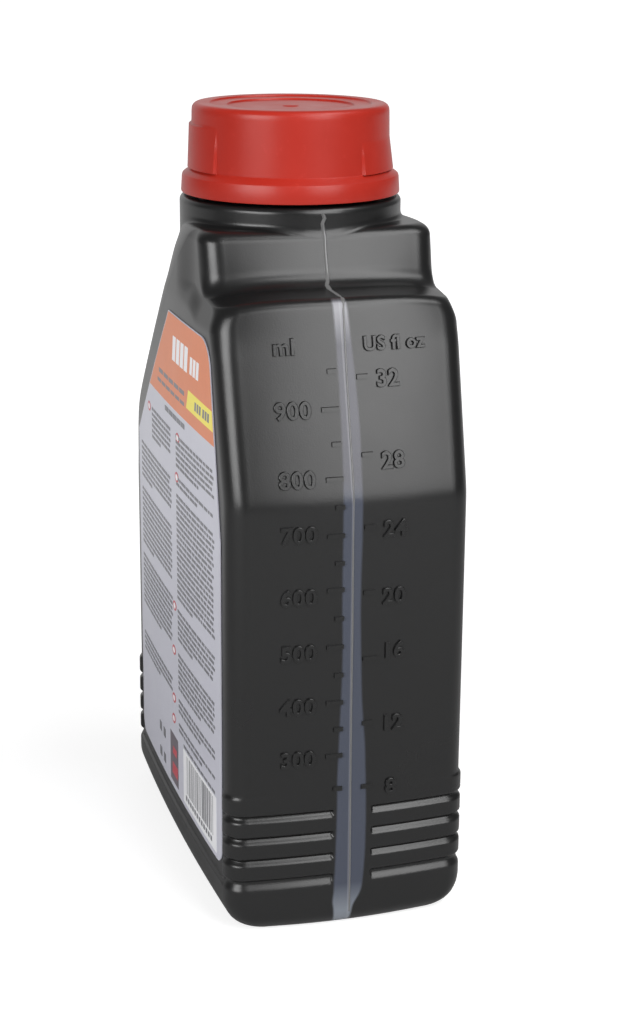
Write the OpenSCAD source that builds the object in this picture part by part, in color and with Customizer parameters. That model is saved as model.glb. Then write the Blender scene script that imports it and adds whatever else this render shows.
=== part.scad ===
// One-litre fork oil bottle: a blown, ribbed body with a sloping shoulder, a screw cap and two labels.
// Origin at the middle of the base, +Z up, the label faces look along -Y and +Y, the scale side along +X.

/* [Body] */
// Width of the body between its narrow sides
body_w = 112; // [100:1:130]
// Depth of the body at its corners
body_d = 61; // [58:1:70]
// Height of the shoulder's flat top
shoulder_z = 173.5; // [170:0.5:185]
// Wall thickness
wall = 1.2; // [1:0.1:2.2]
// Radius of the upright corners, seen from above
corner_r = 5.5; // [4:0.5:7]
// How far the label faces swell in the middle
label_swell = 1.5; // [0.8:0.1:2.5]
// How far the narrow sides swell in the middle
side_swell = 1.4; // [0.8:0.1:2]
// Radius under the label faces
base_face_r = 9; // [6:0.5:11]
// Radius under the narrow sides
base_side_r = 4.5; // [3:0.5:6]
// Height of the hollow under the base
base_hollow = 1.2; // [0.6:0.1:1.4]
// Width of the foot round that hollow
foot_w = 7; // [5:0.5:9]

/* [Shoulders] */
// Height where the long slope of the label faces starts
long_slope_z = 114.2; // [108:0.2:118]
// Run of that slope for each millimetre of height
long_slope_run = 1.13; // [1:0.01:1.16]
// How softly that slope starts
long_slope_soft = 6; // [3:0.5:9]
// Height where the rounded far shoulder becomes upright below the collar
round_z = 158; // [154:0.5:162]
// Height where the scale side starts to lean in
lean_z = 112; // [105:1:118]
// Run of that lean for each millimetre of height
lean_run = 0.2765; // [0.22:0.005:0.3]
// How far the ledge on the scale side lies below the shoulder's flat top
ledge_drop = 13.9; // [12:0.1:19]
// Width of the ledge and its rounded rim
ledge_w = 15; // [12:0.2:18]
// How far the ledge and its rim sink at their two ends
ledge_arch = 2.4; // [0:0.1:3]
// Radius of the hollow between the ledge and the block above it
fillet_r = 6; // [3:0.5:6.5]
// Radius of the ledge's rim
rim_r = 3.4; // [3:0.2:5]
// Radius of the shoulder's rim
top_rim_r = 2.6; // [2:0.2:5]
// Height of the crease above the labels
crease_z = 154.4; // [150:0.2:157]
// How far the label faces step in above the crease, beside the block on the scale side
crease_lean = 1.8; // [0.4:0.1:2]
// How far they lean in above the crease on the rounded far shoulder
far_lean = 0.8; // [0.4:0.1:2]

/* [Ribs] */
// Number of grooves round the foot of the body
groove_count = 4; // [2:1:5]
// Distance from groove to groove
groove_pitch = 5.85; // [5:0.05:6.5]
// Height of the lowest groove
groove_z = 14.15; // [13:0.1:16]
// Depth of a groove
groove_depth = 1; // [0.5:0.1:1.2]
// How far the ribs stand proud of the label faces
rib_proud = 0.65; // [0.3:0.05:1]
// Width of the ribs on a label face, from the corner
rib_reach = 5.5; // [5:0.1:8]
// Height of the base band under the labels
band_z = 12.2; // [12:0.1:12.8]
// Width of the plain stretch that the grooves leave beside the sight strip
strip_gap_w = 9; // [6:0.5:12]

/* [Neck] */
// Place of the neck's axis along the width
neck_x = -1; // [-3:0.5:3]
// Radius of the round collar below the cap
collar_r = 28.4; // [28.2:0.1:29.2]
// Height of the collar above the shoulder's flat top
collar_h = 5.2; // [2:0.2:14]
// Radius of the collar's top edge
collar_edge_r = 1.4; // [0.6:0.1:2]
// Radius of the neck's outside
neck_r = 22.6; // [22:0.1:22.8]
// Wall thickness of the neck
neck_wall = 1.8; // [1.4:0.1:2.4]
// Length of the neck above the collar
neck_h = 18.8; // [17:0.2:24]
// How far the bead round the foot of the neck stands out
bead_out = 1; // [0.5:0.1:1.4]
// Height of that bead
bead_h = 1.6; // [1:0.1:2]

/* [Cap] */
// Running gap between the neck and the cap's wall
cap_gap = 0.9; // [0.6:0.1:1.4]
// Wall thickness of the cap
cap_wall = 1.6; // [1.3:0.1:1.8]
// Thickness of the cap's top
cap_top_t = 2.8; // [2:0.1:3]
// Radius of the cap's skirt
skirt_r = 28; // [27.4:0.1:28.6]
// Height of the straight part of the skirt
skirt_h = 4.6; // [3:0.2:6]
// Gap between the collar and the skirt
skirt_gap = 0.8; // [0.6:0.1:2.5]
// How far the wall grows from its top down to the skirt
cap_draft = 0.3; // [0.1:0.05:0.5]
// Number of grip fields round the cap
grip_count = 2; // [2:1:6]
// Share of the circle that the grip fields take
grip_share = 0.5; // [0.4:0.05:0.85]
// Middle of the first grip field, in degrees from +X
grip_turn = -16.4; // [-40:0.2:40]
// How far the lands stand out between the grip fields, at their foot
grip_out = 0.9; // [0.6:0.05:1.2]
// Height of the grip fields
grip_h = 9; // [7:0.5:11]
// Radius of the cap's top edge
cap_edge_r = 1.6; // [1:0.1:2]
// Width of the rim round the cap's top
cap_rim_w = 4.6; // [3.5:0.1:6]
// Radius of the round field in the top
cap_field_r = 15.8; // [12:0.2:18]
// Depth of each step in the top
cap_step = 0.5; // [0.3:0.05:0.6]

/* [Seals] */
// Thickness of the cap's liner
liner_t = 1.2; // [0.8:0.1:2]
// Thickness of the foil over the mouth
foil_t = 0.3; // [0.2:0.05:0.5]
// Gap round the liner inside the cap
liner_gap = 0.3; // [0.2:0.05:0.5]

/* [Labels] */
// Thickness of a label
label_t = 0.25; // [0.15:0.05:0.4]
// Gap between a label and the body, filled by its glue
glue_gap = 0.03; // [0.02:0.01:0.1]
// Height of a label's lower edge
label_z = 16.5; // [15:0.5:20]
// Height of a label's upper edge
label_top_z = 149.8; // [140:0.2:150]
// Margin from the scale side to a label's nearest upright edge
label_margin = 7.5; // [7:0.5:14]
// Margin from the far narrow side to a label's other upright edge
label_far_margin = 9.5; // [9:0.5:14]
// Width of a label's upper edge, from its slanted edge to its leaning one
label_top_w = 42.3; // [30:0.1:48]
// Height where a label's slanted edge starts
label_slant_z = 107.5; // [100:0.5:112]
// Run of a label's leaning edge for each millimetre of height
label_lean_run = 0.2; // [0.15:0.01:0.27]
// Radius of a label's lower corners
label_r = 4; // [2:0.5:6]
// Radius of a label's upper corner
label_top_r = 8; // [5:0.5:10]

/* [Hidden] */

// Fineness of the round parts
round_fn = 96;
large_fn = 1440;
corner_steps = 5;
face_steps = 10;
arc_steps = 5;
hair = 0.05;

half_w = body_w / 2;
half_d = body_d / 2;
ledge_z = shoulder_z - ledge_drop;
collar_z = shoulder_z + collar_h;
far_drop = 7;
far_low_z = long_slope_z - far_drop;
far_blend_h = 33;
bend_lead = 8;
bend_h = 21;
crease_h = 6;
block_side_x = 6;
block_side_w = 14;

// Sight strip and groove ends on the scale side
strip_gap_mid = 0.6;
groove_fade = 0.6;

// Grooves: how far each reaches above and below its middle
groove_up = 1.1;
groove_floor = 0.3;
groove_down = 1.4;
last_groove_down = 2.6;
top_groove_z = groove_z + (groove_count - 1) * groove_pitch;
rib_top_z = top_groove_z + groove_up + 5;
step_h = 0.8;

// Ledge, the block above it and their round edges on the scale side
lean_cos = 1 / sqrt(1 + lean_run * lean_run);
lean_angle = atan(lean_run);
rim_mid_z = ledge_z - rim_r;
rim_mid_x = lean_x(rim_mid_z + rim_r * sin(lean_angle)) - rim_r * lean_cos;
ledge_rise = 0.7;
block_x = rim_mid_x + rim_r - ledge_w;
fillet_mid_z = ledge_z + ledge_rise + fillet_r;
fillet_mid_x = block_x + fillet_r * lean_cos;
fillet_top_z = fillet_mid_z - fillet_r * sin(lean_angle);
top_mid_z = shoulder_z - top_rim_r;
arch_x = 18;
arch_soft = 10;
arch_drop = 14;
arch_low_z = ledge_z - arch_drop;
arch_high_z = shoulder_z - 2.5;

// Neck and cap, from the collar up
lip_z = collar_z + neck_h;
bore_r = neck_r - neck_wall;
foil_z = lip_z + foil_t;
cap_under_z = foil_z + liner_t;
cap_z = cap_under_z + cap_top_t;
skirt_z = collar_z + skirt_gap;
skirt_top_z = skirt_z + skirt_h;
cap_in_r = neck_r + cap_gap;
cap_r = cap_in_r + cap_wall;
skirt_in_r = skirt_r - cap_wall;
flare_h = 1.6;
wall_z = skirt_top_z + flare_h;
grip_top_z = wall_z + grip_h;
grip_pitch = 360 / grip_count;
land_half = grip_pitch * (1 - grip_share) / 2;
bead_low = 1;
skirt_lean = 0.25;
skirt_roof = 1;

// How deep a grip land's foot and back sink into the cap's wall and flare
land_sink = 0.6;
land_back = 0.4;
land_foot_in = 0.5;

label_bend_drop = 10;
collar_foot_z = shoulder_z - 2 * top_rim_r;
collar_side_z = collar_z - collar_edge_r;
neck_low_z = crease_z - 2;
neck_cone_h = 3;
mouth_over = 1;

// Far end of the body's middle, which rounds off into the collar
far_skin = 0.3;
far_end = half_w + side_swell;
far_run = (far_end + neck_x - collar_r - far_skin) / (round_z - far_low_z);

// Sizes of the body at a height: its two ends along the width and half its depth
function lean_x(z) = half_w - lean_run * (z - lean_z);
function drop(r, z) = r - sqrt(max(0, r * r - (r - z) * (r - z)));
function side_inset(z) = z < base_side_r ? drop(base_side_r, z) : 0;
function face_inset(z) = z < base_face_r ? drop(base_face_r, z) : 0;
function rim_inset(z) = z > top_mid_z ? drop(top_rim_r, shoulder_z - z) : 0;
function block_line(z) = block_x - lean_run * (z - fillet_top_z);
function fillet_x(z) =
    fillet_mid_x - sqrt(max(0, fillet_r * fillet_r - (z - fillet_mid_z) * (z - fillet_mid_z)));
function rim_x(z) = rim_mid_x + sqrt(max(0, rim_r * rim_r - (z - rim_mid_z) * (z - rim_mid_z)));
function near_x(z) =
    z <= lean_z ? half_w - side_inset(z) :
    z <= rim_mid_z + rim_r * sin(lean_angle) ? lean_x(z) :
    z <= ledge_z ? rim_x(z) :
    z <= ledge_z + ledge_rise
        ? rim_mid_x + (fillet_mid_x - rim_mid_x) * (z - ledge_z) / ledge_rise :
    z <= fillet_top_z ? fillet_x(z) :
    block_line(z) - rim_inset(z);
function soft_ramp(s, soft) = (s + sqrt(s * s + soft * soft)) / 2;
function far_x(z) =
    side_inset(z) - half_w
    + (z > far_low_z - bend_lead ? long_slope_run * soft_ramp(z - long_slope_z, long_slope_soft) : 0);
function far_end_x(z) =
    min(neck_x - collar_r - far_skin, far_run * max(0, z - far_low_z) - far_end) + rim_inset(z);
function ease(t) = let (u = min(1, max(0, t))) u * u * (3 - 2 * u);
function roundness(z) = ease((z - far_low_z) / far_blend_h);
function depth(z) =
    half_d - face_inset(z) - rim_inset(z)
    + rib_proud * min(1, max(0, (rib_top_z - z) / step_h));

// How far a label face lies inside its lower part, at a place along the width and a height
function lean_in(x, z) =
    let (share = ease((x - block_side_x) / block_side_w))
    share * crease_lean * ease((z - crease_z) / crease_h)
    + (1 - share) * far_lean * max(0, z - crease_z) / (shoulder_z - crease_z);

// How far a point of the body sinks, so that the ledge and its rim drop towards their two ends
function arch(x, y, z) =
    ledge_arch * pow(abs(y) / half_d, 4) * ease((x - arch_x) / arch_soft)
    * ease((z - arch_low_z) / arch_soft) * ease((arch_high_z - z) / arch_soft);

// The label faces are parts of one large round surface
swell_r = (half_w * half_w + label_swell * label_swell) / (2 * label_swell);
function swell(x) = sqrt(swell_r * swell_r - x * x) - (swell_r - label_swell);

// Depth of the grooves at a height, and of the panel that the label lies in
function notch(z, mid, down) =
    z >= mid + groove_up || z <= mid - down ? 0 :
    z > mid + groove_floor ? (mid + groove_up - z) / (groove_up - groove_floor) :
    z >= mid - groove_floor ? 1 : (z - mid + down) / (down - groove_floor);
function groove(z) = groove_depth * max([for (i = [0:groove_count - 1])
    notch(z, groove_z + i * groove_pitch, i == 0 ? last_groove_down : groove_down)]);
function panel(z) = rib_proud * min(1, max(0, (z - band_z) / step_h), max(0, (rib_top_z - z) / step_h));

// One level of the body: a closed ring of points, from the label face round by the scale side.
// in = how far the ring lies inside the outer skin, ribs = 1 with the grooves and 0 without
function ring(z, in, ribs) =
    [for (q = level(z, in, ribs)) [q[0], q[1], z - arch(q[0], q[1], z)]];
function level(z, in, ribs) =
    let (zz = in > 0 ? min(z + in, shoulder_z - hair) : z,
         r = corner_r - min(in, corner_r - 1),
         x2 = near_x(zz) - in,
         d = depth(in > 0 ? z : zz) - in - (in > 0 && z < rib_top_z ? rib_proud : 0),
         c2 = x2 - r,
         c1 = min(far_x(zz) + in + r, c2 - 1),
         x1 = c1 - r,
         e1 = d + swell(c1) - lean_in(c1, zz) - r,
         e2 = d + swell(c2) - lean_in(c2, zz) - r,
         w = roundness(zz),
         far_a = c1 - far_end_x(zz) - in,
         far_b = e1 + r,
         g = ribs * groove(z),
         p = ribs * panel(z),
         low = strip_gap_mid - strip_gap_w / 2,
         high = strip_gap_mid + strip_gap_w / 2)
    concat(
        // Label face, with its panel between the two ribbed margins
        face_points(c1, c2, d, g, p, -1, z, zz),
        // Corner
        [for (i = [1:corner_steps - 1]) let (a = -90 + 90 * i / corner_steps)
            [c2 + (r - g) * cos(a), -e2 + (r - g) * sin(a), z]],
        // Scale side, with the plain stretch beside the sight strip
        [for (f = [-1, -0.75, -0.5, -0.3]) side_point(x2 - g, e2 * f, e2, 1, z)],
        [side_point(x2 - g, low - groove_fade, e2, 1, z), side_point(x2, low, e2, 1, z)],
        [side_point(x2, strip_gap_mid, e2, 1, z)],
        [side_point(x2, high, e2, 1, z), side_point(x2 - g, high + groove_fade, e2, 1, z)],
        [for (f = [0.35, 0.55, 0.75, 1]) side_point(x2 - g, e2 * f, e2, 1, z)],
        [for (i = [1:corner_steps - 1]) let (a = 90 * i / corner_steps)
            [c2 + (r - g) * cos(a), e2 + (r - g) * sin(a), z]],
        // The other label face and the far side, which goes from flat to round with the height
        face_points(c1, c2, d, g, p, 1, z, zz),
        let (flat = concat(
                 [for (i = [1:corner_steps - 1]) let (a = 90 + 90 * i / corner_steps)
                     [c1 + (r - g) * cos(a), e1 + (r - g) * sin(a), z]],
                 [for (f = [1, 0.66, 0.33, 0, -0.33, -0.66, -1])
                     side_point(x1 + g, e1 * f, e1, -1, z)],
                 [for (i = [1:corner_steps - 1]) let (a = 180 + 90 * i / corner_steps)
                     [c1 + (r - g) * cos(a), -e1 + (r - g) * sin(a), z]]),
             n = len(flat))
            [for (i = [0:n - 1]) let (a = 90 + 180 * (i + 1) / (n + 1))
                flat[i] * (1 - w) + [c1 + far_a * cos(a), far_b * sin(a), z] * w]);
function side_point(x, y, half, way, z) =
    [x + way * side_swell * (1 - pow(y / half, 2)), y, z];
function face_points(c1, c2, d, g, p, way, z, zz) =
    let (m = min(max(rib_reach - corner_r, 0.3), (c2 - c1) / 4),
         a = c1 + m,
         b = c2 - m,
         xs = concat([c1], [for (i = [0:face_steps]) a + (b - a) * i / face_steps], [c2]),
         n = len(xs) - 1)
    [for (k = [0:n]) let (i = way < 0 ? k : n - k,
                          x = xs[i],
                          sunk = i == 0 || i == n ? g : p)
        [x, way * (d + swell(x) - lean_in(x, zz) - sunk), z]];

// A closed solid through rings of equal length, from the lowest up
module stack(rings) {
    n = len(rings[0]);
    top = (len(rings) - 1) * n;
    polyhedron(
        points = [for (r = rings) for (p = r) p],
        faces = concat(
            [[for (i = [0:n - 1]) i]],
            [[for (i = [0:n - 1]) top + n - 1 - i]],
            [for (k = [0:len(rings) - 2]) for (i = [0:n - 1])
                let (a = k * n + i, b = k * n + (i + 1) % n) each [[a, a + n, b], [b, a + n, b + n]]]),
        convexity = 6);
}

// Heights of the outer levels, each round stretch as an arc
base_levels = [for (i = [0:arc_steps]) base_side_r * (1 - cos(90 * i / arc_steps))];
face_base_levels = [for (i = [1:3]) base_side_r + (base_face_r - base_side_r) * i / 3];
groove_levels = [for (i = [0:groove_count - 1])
    let (mid = groove_z + i * groove_pitch, down = i == 0 ? last_groove_down : groove_down)
    each concat([mid - down], i == 0 ? [band_z, band_z + step_h] : [],
                [mid - groove_floor, mid + groove_floor, mid + groove_up])];
rim_levels = [for (i = [0:arc_steps]) let (a = lean_angle + (90 - lean_angle) * i / arc_steps)
    rim_mid_z + rim_r * sin(a)];
fillet_levels = [for (i = [0:arc_steps])
    let (a = lean_angle + (90 - lean_angle) * (arc_steps - i) / arc_steps)
    fillet_mid_z - fillet_r * sin(a)];
top_levels = [for (i = [0:arc_steps]) top_mid_z + top_rim_r * sin(90 * i / arc_steps)];
bend_levels = [for (i = [0:5]) far_low_z - bend_lead + hair + bend_h * i / 5];
bend_top = bend_levels[len(bend_levels) - 1];
slope_levels = [for (s = [1:4]) bend_top + (crease_z - bend_top) * s / 4];
outer_levels = concat(base_levels, face_base_levels, groove_levels,
    [rib_top_z - step_h, rib_top_z, (rib_top_z + far_low_z) / 2],
    bend_levels, slope_levels, rim_levels, fillet_levels, top_levels);

// Heights of the inner levels, a wall's thickness inside
floor_z = wall + base_hollow;
inner_bend_z = far_low_z - bend_lead + 2;
inner_crease_z = crease_z - wall;
inner_levels = concat(
    [floor_z, floor_z + 1, base_side_r + wall, base_face_r + wall, rib_top_z, rib_top_z + step_h],
    [for (i = [0:5]) inner_bend_z + (inner_crease_z - inner_bend_z) * i / 5],
    [rim_mid_z, ledge_z - 1.5 * wall, ledge_z + ledge_rise - 0.75 * wall,
     ledge_z + ledge_rise + fillet_r / 3, fillet_top_z, top_mid_z, shoulder_z - 2 * wall]);

// The body below the neck, solid
module body_outside() {
    stack([for (z = outer_levels) ring(z, 0, 1)]);
}

module body_inside() {
    stack([for (z = inner_levels) ring(z, wall, 0)]);
}

// A shallow hollow under the base, which leaves a foot all round
module base_recess() {
    in = base_face_r + foot_w / 2;
    w = half_w - base_side_r - foot_w;
    d = half_d - in;
    translate([0, 0, -hair])
        linear_extrude(height = base_hollow + hair)
            union() {
                square([2 * w, 2 * (d - corner_r)], center = true);
                square([2 * (w - corner_r), 2 * d], center = true);
                for (sx = [-1, 1], sy = [-1, 1])
                    translate([sx * (w - corner_r), sy * (d - corner_r)])
                        circle(r = corner_r, $fn = round_fn);
            }
}

module neck_outside() {
    translate([neck_x, 0, 0])
        rotate_extrude($fn = round_fn)
            union() {
                translate([0, collar_foot_z])
                    square([collar_r, collar_side_z - collar_foot_z]);
                translate([0, collar_side_z - hair])
                    square([collar_r - collar_edge_r, collar_edge_r + hair]);
                translate([collar_r - collar_edge_r, collar_side_z])
                    intersection() {
                        circle(r = collar_edge_r, $fn = round_fn);
                        square(collar_edge_r);
                    }
                translate([0, collar_z - hair])
                    square([neck_r, neck_h + hair]);
                translate([0, collar_z + bead_low])
                    square([neck_r + bead_out, bead_h]);
            }
}

module neck_inside() {
    in_r = collar_r - wall - far_skin;
    cone_top = collar_z - wall;
    over = lip_z + mouth_over;
    translate([neck_x, 0, 0])
        rotate_extrude($fn = round_fn)
            polygon([[0, neck_low_z], [in_r, neck_low_z], [in_r, cone_top - neck_cone_h],
                     [bore_r, cone_top], [bore_r, over], [0, over]]);
}

module bottle() {
    color([0.11, 0.11, 0.115])
        difference() {
            union() {
                body_outside();
                neck_outside();
            }
            body_inside();
            neck_inside();
            base_recess();
        }
}

// Outline of a label in its own plane: x along the width, y up
module label_outline() {
    left = label_far_margin - half_w;
    right = half_w - label_margin;
    lean_right = right - label_lean_run * (label_top_z - lean_z);
    slant_top = lean_right - label_top_w;
    polygon(concat(
        corner_arc([left, label_z], label_r, 180, 270, [1, 1]),
        corner_arc([right, label_z], label_r, 270, 360, [-1, 1]),
        [[right, lean_z - label_bend_drop]],
        corner_arc([lean_right, label_top_z], label_top_r, atan(label_lean_run), 90, [-1, -1]),
        [[slant_top, label_top_z], [left, label_slant_z]]));
}
function corner_arc(corner, r, from, to, way) =
    [for (i = [0:arc_steps]) let (a = from + (to - from) * i / arc_steps)
        [corner[0] + way[0] * r + r * cos(a), corner[1] + way[1] * r + r * sin(a)]];

// A label: its outline cut out of a thin shell round the label face's own axis
module label() {
    inner = swell_r + half_d + glue_gap;
    mid_y = swell_r - label_swell;
    intersection() {
        rotate([90, 0, 0])
            linear_extrude(height = body_d)
                label_outline();
        translate([0, mid_y, 0])
            difference() {
                cylinder(r = inner + label_t, h = shoulder_z, $fn = large_fn);
                translate([0, 0, -1])
                    cylinder(r = inner, h = shoulder_z + 2, $fn = large_fn);
            }
    }
}

module back_label() {
    color([0.74, 0.74, 0.78]) label();
}

module front_label() {
    color([0.90, 0.52, 0.34]) mirror([0, 1, 0]) label();
}

module mouth_foil() {
    color([0.80, 0.80, 0.82])
        translate([neck_x, 0, lip_z])
            cylinder(r = neck_r, h = foil_t, $fn = round_fn);
}

module cap_liner() {
    color([0.92, 0.92, 0.90])
        translate([neck_x, 0, foil_z])
            cylinder(r = cap_in_r - liner_gap, h = liner_t, $fn = round_fn);
}

// Half section of the cap: skirt, flare, wall, rounded edge, rim and the stepped top
module cap_section() {
    edge_x = cap_r - cap_edge_r;
    rim_x = cap_r - cap_rim_w;
    top_1 = cap_z - cap_step;
    top_2 = cap_z - 2 * cap_step;
    polygon(concat(
        [[skirt_in_r, skirt_z], [skirt_r, skirt_z], [skirt_r - skirt_lean, skirt_top_z]],
        [[cap_r + cap_draft, wall_z]],
        [for (i = [0:arc_steps]) let (a = 90 * i / arc_steps)
            [edge_x + cap_edge_r * cos(a), cap_z - cap_edge_r + cap_edge_r * sin(a)]],
        [[rim_x + cap_step, cap_z], [rim_x, top_1], [cap_field_r + cap_step, top_1],
         [cap_field_r, top_2], [0, top_2], [0, cap_under_z], [cap_in_r, cap_under_z],
         [cap_in_r, wall_z], [skirt_in_r, skirt_top_z - skirt_roof]]));
}

// A land between two grip fields: it swells out of the wall towards its foot
module grip_land() {
    foot_r = cap_r + cap_draft + grip_out;
    rotate([0, 0, -land_half])
        rotate_extrude(angle = 2 * land_half, $fn = round_fn)
            polygon([[cap_r - land_back, skirt_top_z - land_sink],
                     [skirt_r - land_foot_in, skirt_top_z - land_sink],
                     [foot_r, wall_z], [cap_r, grip_top_z], [cap_r - land_back, grip_top_z]]);
}

module screw_cap() {
    color([0.74, 0.16, 0.12])
        translate([neck_x, 0, 0])
            union() {
                rotate_extrude($fn = round_fn)
                    cap_section();
                for (i = [0:grip_count - 1])
                    rotate([0, 0, grip_turn + grip_pitch * (i + 0.5)])
                        grip_land();
            }
}

bottle();
back_label();
front_label();
mouth_foil();
cap_liner();
screw_cap();
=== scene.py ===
"""A one-litre fork oil bottle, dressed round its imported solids."""
import math
import random

import bpy
from mathutils import Matrix, Vector


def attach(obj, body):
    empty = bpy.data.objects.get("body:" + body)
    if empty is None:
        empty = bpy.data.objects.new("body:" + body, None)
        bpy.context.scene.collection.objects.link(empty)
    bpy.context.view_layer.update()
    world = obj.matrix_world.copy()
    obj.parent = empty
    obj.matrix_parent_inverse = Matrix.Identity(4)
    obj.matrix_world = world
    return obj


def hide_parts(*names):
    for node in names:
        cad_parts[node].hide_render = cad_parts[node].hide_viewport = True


bl_info = {
    "name": "Fork oil bottle",
    "version": (1, 0, 0),
    "blender": (4, 5, 0),
    "location": "3D View > Sidebar > Oil bottle",
    "description": "Builds the skin, cap, labels and volume scale of a one-litre oil bottle",
    "category": "Object",
}

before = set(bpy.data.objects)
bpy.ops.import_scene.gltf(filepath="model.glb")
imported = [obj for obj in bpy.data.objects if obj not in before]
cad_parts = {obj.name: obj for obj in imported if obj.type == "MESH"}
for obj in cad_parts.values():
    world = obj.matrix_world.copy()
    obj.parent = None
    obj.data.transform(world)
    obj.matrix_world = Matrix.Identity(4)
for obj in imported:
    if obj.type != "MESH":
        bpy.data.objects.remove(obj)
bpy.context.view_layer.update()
MM = 0.001

# Body, in millimetres, as the solids have it
HALF_W = 56.0
HALF_D = 30.5
SHOULDER_Z = 173.5
WALL = 1.2
CORNER_R = 5.5
LABEL_SWELL = 1.5
SIDE_SWELL = 1.4
BASE_FACE_R = 9.0
BASE_SIDE_R = 4.5
BASE_HOLLOW = 1.2
LONG_SLOPE_Z = 114.2
LONG_SLOPE_RUN = 1.13
LONG_SLOPE_SOFT = 6.0
ROUND_Z = 158.0
LEAN_Z = 112.0
LEAN_RUN = 0.2765
LEAN_SOFT = 1.6
LEDGE_Z = 159.6
LEDGE_W = 15.0
LEDGE_ARCH = 2.4
RIM_R = 3.4
TOP_RIM_R = 2.6
CREASE_Z = 154.4
CREASE_LEAN = 1.8
CREASE_H = 6.0
FAR_LEAN = 0.8

# Grooves and the sunk panel that holds the label
GROOVES = 4
GROOVE_PITCH = 5.85
GROOVE_Z = 14.15
GROOVE_DEPTH = 1.0
GROOVE_UP = 1.1
GROOVE_DOWN = 1.4
LAST_GROOVE_DOWN = 2.6
RIB_PROUD = 0.65
BAND_Z = 12.2
STRIP_MID = 0.6
STRIP_GAP = 9.0

# Neck, cap and seals
NECK_X = -1.0
COLLAR_R = 28.4
COLLAR_Z = 178.7
COLLAR_EDGE_R = 1.4
NECK_R = 22.6
BORE_R = 20.8
LIP_Z = 197.5
CAP_UNDER_Z = 199.0
CAP_Z = 201.8
CAP_IN_R = 23.5
CAP_R = 25.1
SKIRT_R = 28.0
SKIRT_Z = 179.5
SKIRT_TOP_Z = 184.1
WALL_Z = 185.7
THREAD_PITCH = 4.0

# Labels
LABEL_T = 0.25
GLUE_GAP = 0.03
LABEL_SHIFT = 2.0
LABEL_NEAR_X = 48.5
LABEL_FAR_X = -46.5
LABEL_BEND_Z = 102.0
LABEL_SLANT_Z = 107.5
LABEL_TOP_Z = 149.8
LABEL_TOP_W = 42.3
LABEL_TOP_R = 8.0
LABEL_LEAN_RUN = 0.2
HEAD_Z = 124.8
PRINT_INSET = 0.3
GROUND_INK = 0.055
BAND_INK = 0.065
SMALL_INK = 0.07
TOP_INK = 0.075

# Values that follow from those
TOP_GROOVE_Z = GROOVE_Z + (GROOVES - 1) * GROOVE_PITCH
RIB_TOP_Z = TOP_GROOVE_Z + GROOVE_UP + 5
FAR_LOW_Z = LONG_SLOPE_Z - 7
FAR_BLEND_H = 33
LEAN_COS = 1 / math.sqrt(1 + LEAN_RUN ** 2)
LEAN_SIN = LEAN_RUN * LEAN_COS
RIM_MID_Z = LEDGE_Z - RIM_R
RIM_MID_X = HALF_W - LEAN_RUN * (RIM_MID_Z + RIM_R * LEAN_SIN - LEAN_Z) - RIM_R * LEAN_COS
LEDGE_RISE = 0.7
FILLET_R = 6.0
COLLAR_SIDE_Z = COLLAR_Z - COLLAR_EDGE_R
BLOCK_X = RIM_MID_X + RIM_R - LEDGE_W
FILLET_MID_Z = LEDGE_Z + LEDGE_RISE + FILLET_R
FILLET_MID_X = BLOCK_X + FILLET_R * LEAN_COS
FILLET_TOP_Z = FILLET_MID_Z - FILLET_R * LEAN_SIN
TOP_MID_Z = SHOULDER_Z - TOP_RIM_R
CROWN_STEPS = 34
COLLAR_STEPS = 10
HOLLOW_REACH = 1.7
FAR_SKIN = 0.3
FAR_END = HALF_W + SIDE_SWELL
FAR_RUN = (FAR_END + NECK_X - COLLAR_R - FAR_SKIN) / (ROUND_Z - FAR_LOW_Z)
SWELL_R = (HALF_W ** 2 + LABEL_SWELL ** 2) / (2 * LABEL_SWELL)


# Shape of the body

def ease(t):
    u = min(1.0, max(0.0, t))
    return u * u * (3 - 2 * u)


def drop(r, z):
    return r - math.sqrt(max(0.0, r * r - (r - z) ** 2)) if z < r else 0.0


def ramp(s, soft):
    return (s + math.sqrt(s * s + soft * soft)) / 2


def rim_inset(z):
    return drop(TOP_RIM_R, SHOULDER_Z - z) if z > TOP_MID_Z else 0.0


def near_x(z):
    """How far the scale side lies from the middle at a height."""
    if z <= RIM_MID_Z + RIM_R * LEAN_SIN:
        return HALF_W - drop(BASE_SIDE_R, z) - LEAN_RUN * ramp(z - LEAN_Z, LEAN_SOFT)
    if z <= LEDGE_Z:
        return RIM_MID_X + math.sqrt(max(0.0, RIM_R ** 2 - (z - RIM_MID_Z) ** 2))
    if z <= LEDGE_Z + LEDGE_RISE:
        return RIM_MID_X + (FILLET_MID_X - RIM_MID_X) * (z - LEDGE_Z) / LEDGE_RISE
    if z <= FILLET_TOP_Z:
        return FILLET_MID_X - math.sqrt(max(0.0, FILLET_R ** 2 - (z - FILLET_MID_Z) ** 2))
    return BLOCK_X - LEAN_RUN * (z - FILLET_TOP_Z) - rim_inset(z)


def far_x(z):
    slope = 0.0
    if z > FAR_LOW_Z - 8:
        slope = LONG_SLOPE_RUN * ramp(z - LONG_SLOPE_Z, LONG_SLOPE_SOFT)
    return drop(BASE_SIDE_R, z) - HALF_W + slope


def far_end_x(z):
    bend = FAR_RUN * max(0.0, z - FAR_LOW_Z) - FAR_END
    return min(NECK_X - COLLAR_R - FAR_SKIN, bend) + rim_inset(z)


def arch(x, y, z):
    """How far the ledge and its rim sink towards their two ends."""
    window = ease((z - LEDGE_Z + 14) / 10) * ease((SHOULDER_Z - 2.5 - z) / 10) * ease((x - 18) / 10)
    return LEDGE_ARCH * window * (abs(y) / HALF_D) ** 4


def swell(x):
    return math.sqrt(SWELL_R ** 2 - x * x) - (SWELL_R - LABEL_SWELL)


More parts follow.
